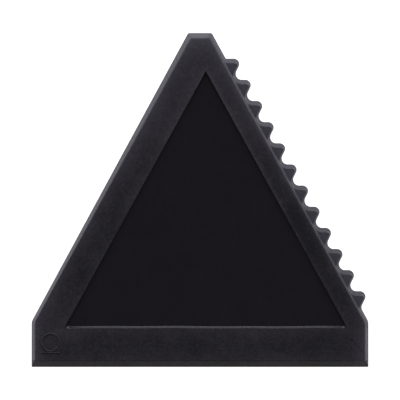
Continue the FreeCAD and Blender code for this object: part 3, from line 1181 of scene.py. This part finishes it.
@dataclass
class LeftRail(FlatZone):
    """The frame member along the side blade, with half of the cut-off apex."""

    face_width: float = 11.0 * MM

    def patches(self) -> list[np.ndarray]:
        """The top's bevel, the face under it, and the rail's long face.

        Returns:
            Grids of plan points, one to a patch.
        """
        form, space = self.moulding, self.spacing
        top = np.array([0.0, form.outline["top_left"][1]])
        crease = form.apex_crease(Side.BLADE)
        middle = np.array([0.0, crease[1]])
        apex = form.rim_apex
        half = space.apex()
        rail = space.rail(self.face_width)
        return [
            patch([form.outline["top_left"], top, middle, crease], half, space.bevel()),
            patch([crease, middle, apex, apex], half, rail),
            patch(
                [crease, form.shoulder_crease(Side.BLADE), form.rim_left, apex],
                space.along(form.side_length), rail,
            ),
        ]


@dataclass
class RightRail(FlatZone):
    """The frame member above the teeth, with the other half of the cut-off apex."""

    face_width: float = 8.0 * MM

    def patches(self) -> list[np.ndarray]:
        """Top bevel, faces, and the side's bevel: whole at its ends, cut back at the comb.

        Returns:
            Grids of plan points, one to a patch.
        """
        form, space = self.moulding, self.spacing
        side = Side.TEETH
        top = np.array([0.0, form.outline["top_right"][1]])
        corner = form.outline["top_right"]
        crease = form.apex_crease(side)
        middle = np.array([0.0, crease[1]])
        apex, rim = form.rim_apex, form.rim_right
        half = space.apex()
        rail = space.rail(self.face_width)
        bevel, wall = space.bevel(), space.wall()
        outer = bevel[bevel <= space.foot_share + 1e-9] / space.foot_share
        stops = [0.0, form.comb_start, form.comb_end, form.side_length]
        spans = [space.along(b - a) for a, b in zip(stops, stops[1:])]
        foot = -form.bevel_width * space.foot_share
        edge = [corner, *(form.on_side(side, s, 0.0) for s in stops[1:3]), form.outline["right"]]
        inner = [
            crease, *(form.on_side(side, s, -form.bevel_width) for s in stops[1:3]),
            form.shoulder_crease(side),
        ]
        feet = [
            lerp(corner, crease, space.foot_share),
            *(form.on_side(side, s, foot) for s in stops[1:3]),
            lerp(edge[3], inner[3], space.foot_share),
        ]
        rims = [lerp(apex, rim, s / form.side_length) for s in stops]
        made = [
            patch([top, corner, crease, middle], half, bevel),
            patch([middle, crease, apex, apex], half, rail),
        ]
        for i, span in enumerate(spans):
            made.append(patch([inner[i], inner[i + 1], rims[i + 1], rims[i]], span, rail))
            made.append(patch([feet[i], feet[i + 1], inner[i + 1], inner[i]], span, wall))
        for i in (0, 2):
            made.append(patch([edge[i], edge[i + 1], feet[i + 1], feet[i]], spans[i], outer))
        return made


@dataclass
class BaseRail(FlatZone):
    """The frame member along the base, with both short upright walls."""

    fine: float = 0.05 * MM
    growth: float = 1.4
    row_coarse: float = 0.17 * MM
    left_coarse: float = 0.5 * MM
    knit_coarse: float = 0.15 * MM
    middle_coarse: float = 0.3 * MM

    def patches(self) -> list[np.ndarray]:
        """A bevel strip and a face at each end, and the long face under the recess.

        Returns:
            Grids of plan points, one to a patch.
        """
        form, space = self.moulding, self.spacing
        low = form.step_y
        down = graded(form.rim_left[1] - low, space.fine, space.growth, self.row_coarse)
        sides = []
        for side, rim in ((Side.BLADE, form.rim_left), (Side.TEETH, form.rim_right)):
            edge = side.value * form.half_width
            inner = side.value * (form.half_width - form.bevel_width)
            shoulder = np.array([edge, form.shoulder_y])
            crease = form.shoulder_crease(side)
            strip = [shoulder, crease, np.array([inner, low]), np.array([edge, low])]
            face = [crease, rim, np.array([rim[0], low]), np.array([inner, low])]
            # The knit line is on the toothed side, and needs closer points.
            coarse = self.knit_coarse if side is Side.TEETH else self.left_coarse
            across = graded(abs(inner - rim[0]), self.fine, self.growth, coarse)
            sides.append(patch(strip, space.bevel(), down))
            sides.append(patch(face, across, down))
        left, right = form.rim_left, form.rim_right
        middle = [left, right, np.array([right[0], low]), np.array([left[0], low])]
        across = graded(right[0] - left[0], self.fine, self.growth, self.middle_coarse)
        sides.append(patch(middle, across, down))
        return sides


@dataclass
class BaseBlade(FlatZone):
    """The wide bevelled scraping edge of the base, with the small step above it."""

    fine: float = 0.05 * MM
    growth: float = 1.3
    coarse: float = 0.12 * MM
    row_fine: float = 0.03 * MM
    row_growth: float = 1.5
    row_coarse: float = 0.2 * MM
    step_rows: int = 12

    def patches(self) -> list[np.ndarray]:
        """One long strip and its two ends, where the walls' bevels cut it off.

        Returns:
            Grids of plan points, one to a patch.
        """
        form, space = self.moulding, self.spacing
        nose = nose_insets(np.asarray(form.blade_slope), space.nose_rows)[:, 0]
        foot = form.blade_foot
        slant = graded(foot - nose[-1], self.row_fine, self.row_growth, self.row_coarse)[1:]
        step = lerp(foot, form.blade_width, np.linspace(0.0, 1.0, self.step_rows))[1:]
        down = np.concatenate([nose, lerp(nose[-1], foot, slant), step]) / form.blade_width
        low, high = form.base_y, form.step_y
        inner = form.half_width - form.bevel_width
        bevel = space.bevel()
        spans = [
            (-form.half_width, -inner, bevel),
            (-inner, inner, graded(2.0 * inner, self.fine, self.growth, self.coarse)),
            (form.half_width, inner, bevel),
        ]
        return [
            patch([np.array(c) for c in ((a, low), (b, low), (b, high), (a, high))], across, down)
            for a, b, across in spans
        ]


@dataclass
class CentrePanel(FlatZone):
    """The recessed web in the middle, with its sloped walls."""

    slot: Slot = Slot.PANEL
    fine: float = 0.08 * MM
    growth: float = 1.2
    coarse: float = 0.9 * MM
    wall_step: float = 0.05 * MM
    wall_rings: int = 30
    floor_rings: int = 22

    def patches(self) -> list[np.ndarray]:
        """Rings of the rim's triangle, drawn in towards the middle of its inscribed circle.

        Returns:
            Grids of plan points, one to a patch.
        """
        form = self.moulding
        corners = np.array([form.rim_left, form.rim_right, form.rim_apex])
        lengths = np.linalg.norm(np.roll(corners, -1, axis=0) - corners, axis=1)
        # The centre is the corners' mean, each weighed by the length of the side opposite.
        weights = np.roll(lengths, -1)
        centre = weights @ corners / weights.sum()
        radius = float(inside(centre, form.rim_left, form.rim_right))
        # Rings are close together on the recess's wall, and grow apart over its floor.
        close = np.arange(self.wall_rings) * self.wall_step
        reach = self.wall_rings * self.wall_step
        far = lerp(reach, radius, np.linspace(0.0, 1.0, self.floor_rings) ** 1.3)
        draw_in = 1.0 - np.concatenate([close, far]) / radius
        rings = []
        for i in range(3):
            steps = graded(lengths[i], self.fine, self.growth, self.coarse)[:, None]
            side = lerp(corners[i], corners[(i + 1) % 3], steps)
            rings.append(centre + (side[None, :, :] - centre) * draw_in[:, None, None])
        return rings


@dataclass
class ToothedEdge(Zone):
    """The comb of rounded teeth, on its own plane below the frame's face."""

    moulding: Moulding
    node: str = "toothed_edge"
    slot: Slot = Slot.FRAME
    count: int = 12
    pitch: float = 8.5 * MM
    first: float = 13.35 * MM
    height: float = 3.5 * MM
    tip_radius: float = 1.95 * MM
    gullet_radius: float = 2.1 * MM
    shoulder_radius: float = 0.5 * MM
    upper_flank: float = math.radians(28.0)
    lower_flank: float = math.radians(35.0)
    tooth_drop: float = 0.86 * MM
    wide_bevel: float = 1.6 * MM
    narrow_bevel: float = 0.55 * MM
    plane_round: float = 0.12 * MM
    # Painted light on the teeth's plane, and painted shade along the foot of the rail's wall.
    plane_painted_light: float = 2.5
    foot_shade: float = 1.0
    crease_shade_reach: float = 0.45 * MM
    nose_rows: int = 7
    bevel_rows: int = 9
    arc_steps: int = 14
    flank_steps: int = 8
    start_steps: int = 12
    end_steps: int = 6

    def arc(self, centre: np.ndarray, radius: float, start: float, end: float) -> np.ndarray:
        """Points and outward normals on an arc, its centre given along and outwards.

        Args:
            centre: The arc's centre.
            radius: Its radius, negative where the material is outside the circle.
            start: First angle of the outward normal.
            end: Last angle of the outward normal.

        Returns:
            Rows of along, outwards, and the normal's two parts.
        """
        angle = np.linspace(start, end, self.arc_steps)
        normal = np.column_stack([np.cos(angle), np.sin(angle)])
        return np.column_stack([centre + radius * normal, normal])

    def outline(self) -> np.ndarray:
        """The comb's outline from its first end to its last.

        Each tooth is a tip arc between two straight flanks. A gullet's arc touches the
        lower flank before it and the upper flank after it, so its centre is one distance,
        tip radius plus gullet radius, from both flanks' lines through the tip centres.

        Returns:
            Rows of along, outwards, and the outward normal's two parts.
        """
        upper, lower = self.upper_flank, self.lower_flank
        tip_out = self.height - self.tip_radius
        up_normal = np.array([-math.cos(upper), math.sin(upper)])
        low_normal = np.array([math.cos(lower), math.sin(lower)])
        reach = self.tip_radius + self.gullet_radius
        gullet = np.linalg.solve(
            np.array([low_normal, up_normal]),
            np.array([reach, reach + up_normal[0] * self.pitch]),
        )
        level, outwards = math.pi / 2.0, [0.0, 1.0]
        before_tip = (self.tip_radius + self.shoulder_radius
                      - up_normal[1] * (self.shoulder_radius - tip_out)) / up_normal[0]
        shoulder = np.array([self.first + before_tip, self.shoulder_radius])
        start, end = [self.moulding.comb_start, 0.0], [self.moulding.comb_end, 0.0]
        runs = [
            self.straight(start, [shoulder[0], 0.0], outwards, self.start_steps),
            self.arc(shoulder, -self.shoulder_radius, level, math.pi - upper),
        ]
        for tooth in range(self.count):
            tip = np.array([self.first + tooth * self.pitch, tip_out])
            runs.append(self.arc(tip, self.tip_radius, math.pi - upper, lower))
            if tooth < self.count - 1:
                runs.append(self.arc(tip + gullet, -self.gullet_radius, lower, math.pi - upper))
        after_tip = (reach - low_normal[1] * (self.gullet_radius - tip_out)) / low_normal[0]
        last_tip = self.first + (self.count - 1) * self.pitch
        run_out = np.array([last_tip + after_tip, self.gullet_radius])
        runs.append(self.arc(run_out, -self.gullet_radius, lower, level))
        runs.append(self.straight([run_out[0], 0.0], end, outwards, self.end_steps))
        return np.concatenate(self.with_flanks(runs))

    def straight(
        self, start: list[float], end: list[float], normal: list[float], steps: int,
    ) -> np.ndarray:
        """Evenly spaced points from start to end, with one normal.

        Args:
            start: First point, along and outwards.
            end: Last point, along and outwards.
            normal: The outward normal of every point.
            steps: Number of points.

        Returns:
            Rows of along, outwards, and the normal's two parts.
        """
        t = np.linspace(0.0, 1.0, steps)[:, None]
        points = lerp(np.array(start), np.array(end), t)
        return np.column_stack([points, np.tile(normal, (steps, 1))])

    def with_flanks(self, runs: list[np.ndarray]) -> list[np.ndarray]:
        """Put a straight flank between arcs that follow each other with a gap.

        Args:
            runs: Arcs and straights, each as rows of places and normals.

        Returns:
            The runs with the flanks between them, and no place given twice.
        """
        joined = [runs[0]]
        for before, after in zip(runs, runs[1:]):
            gap = np.linalg.norm(after[0, :2] - before[-1, :2])
            if gap > WELD:
                steps = self.flank_steps + 2
                flank = self.straight(before[-1, :2], after[0, :2], after[0, 2:], steps)
                joined.append(flank[1:-1])
            skip = 1 if gap <= WELD else 0
            joined.append(after[skip:])
        return joined

    def bevel_widths(self, rows: np.ndarray, ends: np.ndarray, foot: float) -> np.ndarray:
        """Plan width of the bevel at each place of the outline.

        It is wide where the outline looks towards the apex and narrow where it looks
        towards the base. At the comb's ends it goes over to the rail's own bevel, and it
        never reaches past the foot line.

        Args:
            rows: The outline's places and normals.
            ends: Distances from the comb's nearer end.
            foot: The foot line's place outwards from the side's line.

        Returns:
            Widths along the outline's normals.
        """
        form = self.moulding
        outward, normal = rows[:, 1], rows[:, 2:]
        looks_up = normal @ np.array([-form.side_cos, form.side_sin])
        width = lerp(self.narrow_bevel, self.wide_bevel, smooth_step(-0.45, 0.9, looks_up))
        natural = self.bevel_rise() / form.bevel_slope
        width = lerp(natural, width, smooth_step(0.3 * MM, 1.2 * MM, ends + outward))
        room = (outward - foot) / np.maximum(normal[:, 1], 0.2)
        return np.minimum(width, np.maximum(room * 0.99, 0.1 * MM))

    def bevel_rise(self) -> float:
        """Rise of the teeth's bevel from the land to the teeth's plane."""
        form = self.moulding
        return form.thickness - self.tooth_drop - form.middle - form.edge_land / 2.0

    def columns(
        self, rows: np.ndarray, width: np.ndarray, foot: float,
    ) -> tuple[np.ndarray, np.ndarray]:
        """Points from the outline over the bevel to the foot line, one column to a place.

        A column follows the outline's normal over the bevel, and then runs square to the
        side down to the foot line.

        Args:
            rows: The outline's places and normals.
            width: Plan widths of the bevel.
            foot: The foot line's place outwards from the side's line.

        Returns:
            Grid of points given along and outwards, and their distances from the outline.
        """
        place, normal = rows[:, :2], rows[:, 2:]
        nose = nose_insets(self.bevel_rise() / width, self.nose_rows)
        rest = np.linspace(0.0, 1.0, self.bevel_rows)[1:, None] ** 0.8
        inset = np.concatenate([nose, lerp(nose[-1], width, rest)])
        bevel = place[None, :, :] - inset[:, :, None] * normal[None, :, :]
        foot_line = np.column_stack([bevel[-1][:, 0], np.full(len(place), foot)])
        down = graded(3.0 * MM, 0.05 * MM, 1.5, 0.5 * MM)[1:, None, None]
        face = lerp(bevel[-1][None], foot_line[None], down)
        beyond = inset[-1] + np.linalg.norm(face - bevel[-1], axis=2)
        return np.concatenate([bevel, face]), np.concatenate([inset, beyond])

    def build(self) -> bpy.types.Object:
        """Lift the comb's columns to their heights, and close them into a solid.

        Out of the side's line the height is the bevel's, levelled off at the teeth's
        plane. Inside the line it is the moulding's where that is higher.

        Returns:
            The new object.
        """
        form = self.moulding
        rows = self.outline()
        # The foot line is where the rail's bevel comes down to the teeth's plane.
        foot = -form.bevel_width * (1.0 - self.tooth_drop / (form.thickness - form.edge_land) * 2.0)
        ends = np.minimum(rows[:, 0] - form.comb_start, form.comb_end - rows[:, 0])
        width = self.bevel_widths(rows, ends, foot)
        local, inset = self.columns(rows, width, foot)
        side_down = np.array([form.side_sin, -form.side_cos])
        side_out = np.array([form.side_cos, form.side_sin])
        corner = form.outline["top_right"]
        points = corner + local[..., :1] * side_down + local[..., 1:] * side_out
        slope = np.broadcast_to(self.bevel_rise() / width, inset.shape)
        comb = form.middle + bevel_height(inset, slope, form.edge_land / 2.0)
        plane = np.full_like(comb, form.thickness - self.tooth_drop)
        comb = soft_min(comb, plane, self.plane_round)
        body = np.where(local[..., 1] < 0.0, form.height(points), form.middle)
        heights = np.maximum(comb, body)
        flat = points.reshape(-1, 2)
        plan = Plan(flat, grid_triangles(*points.shape[:2])[:, ::-1])
        values = form.attributes(flat)
        values["rail_middle"] = np.zeros(len(flat))
        # The whole comb gets the full painted light of a crease.
        values["painted_crease_light"] = np.ones(len(flat))
        on_plane = smooth_step(0.0, 0.3 * MM, inset - width) * smooth_step(0.5, 1.5, ends / MM)
        # Painted shade darkens the teeth's plane along the foot of the rail's wall, in the crease
        # between them.
        wall_foot_shade = self.foot_shade * np.exp(-(local[..., 1] - foot) / self.crease_shade_reach)
        plane_painted_light = self.plane_painted_light - wall_foot_shade
        # On the teeth's plane the painted light takes its own level, less the painted shade along
        # the wall's foot.
        values["painted_light"] += (plane_painted_light.ravel() - values["painted_light"]) * on_plane.ravel()
        values["dull"] = form.dull(flat, inset.ravel())
        return make_solid(f"{self.node}_moulded", plan, heights.ravel(), form.middle, values)


@dataclass
class MouldMark(Zone):
    """The small generic mark at the lower left: a plain ring over a bar."""

    node: str = "mould_mark"
    slot: Slot = Slot.FRAME
    line: float = 0.5 * MM
    sunk: float = 0.1 * MM
    around: int = 96
    section: int = 14
    bar_steps: int = 40

    def build(self) -> bpy.types.Object:
        """Sweep a flattened round section about the ring and along the bar, and join them.

        Returns:
            The new object.
        """
        low, high = (np.array(c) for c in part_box(self.node))
        centre = (low[0] + high[0]) / 2.0
        face, rise = low[2], high[2] - low[2]
        radius = (high[1] - low[1] - self.line) / 2.0
        ring_y = high[1] - radius
        turn = np.linspace(0.0, 2.0 * math.pi, self.around + 1)
        tilt = np.linspace(0.0, 2.0 * math.pi, self.section + 1)
        # Section: a circle squashed to the mark's height, its lower half sunk in the face.
        out = self.line / 2.0 * np.cos(tilt)
        up = np.where(np.sin(tilt) > 0.0, rise, self.sunk) * np.sin(tilt)
        reach = radius - self.line / 2.0 + out[None, :]
        ring = np.stack([
            centre + np.cos(turn)[:, None] * reach,
            ring_y + np.sin(turn)[:, None] * reach,
            np.broadcast_to(face + up, (self.around + 1, self.section + 1)),
        ], axis=-1)
        # The bar's ends are round: its section shrinks with the square root of the room left.
        half_bar = (high[0] - low[0]) / 2.0
        sweep = np.linspace(-math.pi / 2.0, math.pi / 2.0, self.bar_steps + 1)
        along = half_bar * np.sin(sweep)
        room = np.clip((half_bar - np.abs(along)) / (self.line / 2.0), 0.0, 1.0)
        size = np.sqrt(1.0 - (1.0 - room) ** 2)
        bar = np.stack([
            np.broadcast_to(centre + along[:, None], (self.bar_steps + 1, self.section + 1)),
            low[1] + self.line / 2.0 + size[:, None] * out[None, :],
            face + size[:, None] * up[None, :],
        ], axis=-1)
        ring_faces = grid_triangles(*ring.shape[:2])[:, ::-1]
        bar_faces = grid_triangles(*bar.shape[:2])
        points = np.concatenate([ring.reshape(-1, 3), bar.reshape(-1, 3)])
        faces = np.concatenate([ring_faces, bar_faces + ring.shape[0] * ring.shape[1]])
        return make_object(f"{self.node}_moulded", points, faces)


# ---------------------------------------------------------------- studio


@dataclass(frozen=True)
class Softbox:
    """A soft rectangular light that faces the object, its sizes in metres and watts."""

    name: str
    place: tuple[float, float, float]
    size: tuple[float, float]
    power: float
    colour: str = "#f8f7ff"

    def put_up(self) -> None:
        """Add the light, turned from its place towards the origin."""
        data = bpy.data.lights.new(self.name, "AREA")
        data.shape = "RECTANGLE"
        data.size, data.size_y = self.size
        data.energy = self.power
        data.color = linear(self.colour)[:3]
        lamp = bpy.data.objects.new(self.name, data)
        bpy.context.scene.collection.objects.link(lamp)
        x, y, z = self.place
        lamp.location = self.place
        lamp.rotation_euler = (math.atan2(math.hypot(x, y), z), 0.0, math.atan2(x, -y))


@dataclass
class Studio:
    """Pale floor, soft lights round the apex side, and a camera straight above."""

    camera_height: float = 0.9
    seen_width: float = 141.4 * MM
    sensor: float = 36.0
    floor_size: float = 8.0
    paper: str = "#f4f4f4"
    air_above: str = "#eae4ff"
    air_below: str = "#ffeede"
    air_strength: float = 0.15
    softboxes: tuple[Softbox, ...] = (
        Softbox("apex_softbox", (0.0, 1.6, 0.42), (2.0, 0.8), 16.6),
        Softbox("left_softbox", (-1.45, 0.75, 0.42), (1.7, 0.8), 10.6),
        Softbox("right_softbox", (1.45, 0.75, 0.42), (1.7, 0.8), 11.5),
    )

    def build(self, middle: float) -> None:
        """Put up the floor, the lights, the world and the camera.

        Args:
            middle: Height of the moulding's middle plane, which the camera is set over.
        """
        self.lay_floor()
        for softbox in self.softboxes:
            softbox.put_up()
        self.fill_air()
        self.set_camera(middle)

    def lay_floor(self) -> None:
        """Lay a square of paper so bright that it shows no shadow."""
        half = self.floor_size / 2.0
        mesh = bpy.data.meshes.new("studio_floor")
        corners = [(-half, -half, 0.0), (half, -half, 0.0), (half, half, 0.0), (-half, half, 0.0)]
        mesh.from_pydata(corners, [], [(0, 1, 2, 3)])
        floor = bpy.data.objects.new("studio_floor", mesh)
        bpy.context.scene.collection.objects.link(floor)
        material, tree = new_material("matt_white_paper")
        shader = add_node(tree, "ShaderNodeBsdfPrincipled", None, {
            "Base Color": linear(self.paper), "Roughness": 0.9,
            "Emission Color": linear("#ffffff"), "Emission Strength": 1.0,
        }).outputs["BSDF"]
        add_node(tree, "ShaderNodeOutputMaterial", None, {"Surface": shader})
        mesh.materials.append(material)

    def fill_air(self) -> None:
        """Light the world, cool overhead and behind the apex, warmer on the base's side."""
        world = bpy.data.worlds.new("studio_air")
        world.use_nodes = True
        tree = world.node_tree
        way = add_node(tree, "ShaderNodeTexCoord").outputs["Generated"]
        along = add_node(tree, "ShaderNodeSeparateXYZ", None, {"Vector": way}).outputs["Y"]
        share = add_node(tree, "ShaderNodeMapRange", None, {
            "Value": along, "From Min": -0.7, "From Max": -0.1,
        }).outputs["Result"]
        hue = add_node(tree, "ShaderNodeMix", {"data_type": "RGBA"}, {
            "Factor": share, 6: linear(self.air_below), 7: linear(self.air_above),
        }).outputs[2]
        tree.links.new(hue, tree.nodes["Background"].inputs["Color"])
        tree.nodes["Background"].inputs["Strength"].default_value = self.air_strength
        bpy.context.scene.world = world

    def set_camera(self, middle: float) -> None:
        """Set the camera straight above, with a lens that sees the wanted width.

        Args:
            middle: Height of the plane that the width is seen in.
        """
        scene = bpy.context.scene
        data = bpy.data.cameras.new("camera")
        data.sensor_width = self.sensor
        data.lens = self.sensor * self.camera_height / self.seen_width
        camera = bpy.data.objects.new("camera", data)
        camera.location = (0.0, 0.0, middle + self.camera_height)
        scene.collection.objects.link(camera)
        scene.camera = camera
        scene.view_settings.view_transform = "Standard"


def main() -> None:
    """Build and dress every zone of the scraper, then the studio."""
    logging.basicConfig(level=logging.INFO, format="%(name)s: %(message)s")
    moulding = Moulding()
    spacing = Spacing(moulding)
    matt = SparkErodedPolystyrene().make()
    polished = PolishedPolystyrene().make()
    zones = [
        CentrePanel(moulding, spacing, "centre_panel"),
        LeftRail(moulding, spacing, "left_rail"),
        RightRail(moulding, spacing, "right_rail"),
        BaseRail(moulding, spacing, "base_rail"),
        SideBlade(moulding, spacing, "side_blade"),
        BaseBlade(moulding, spacing, "base_blade"),
        ToothedEdge(moulding),
        MouldMark(),
    ]
    for zone in zones:
        finish = polished if zone.slot is Slot.PANEL else matt
        zone.dress(zone.build(), finish)
    Studio().build(moulding.middle)


if __name__ == "__main__":
    main()
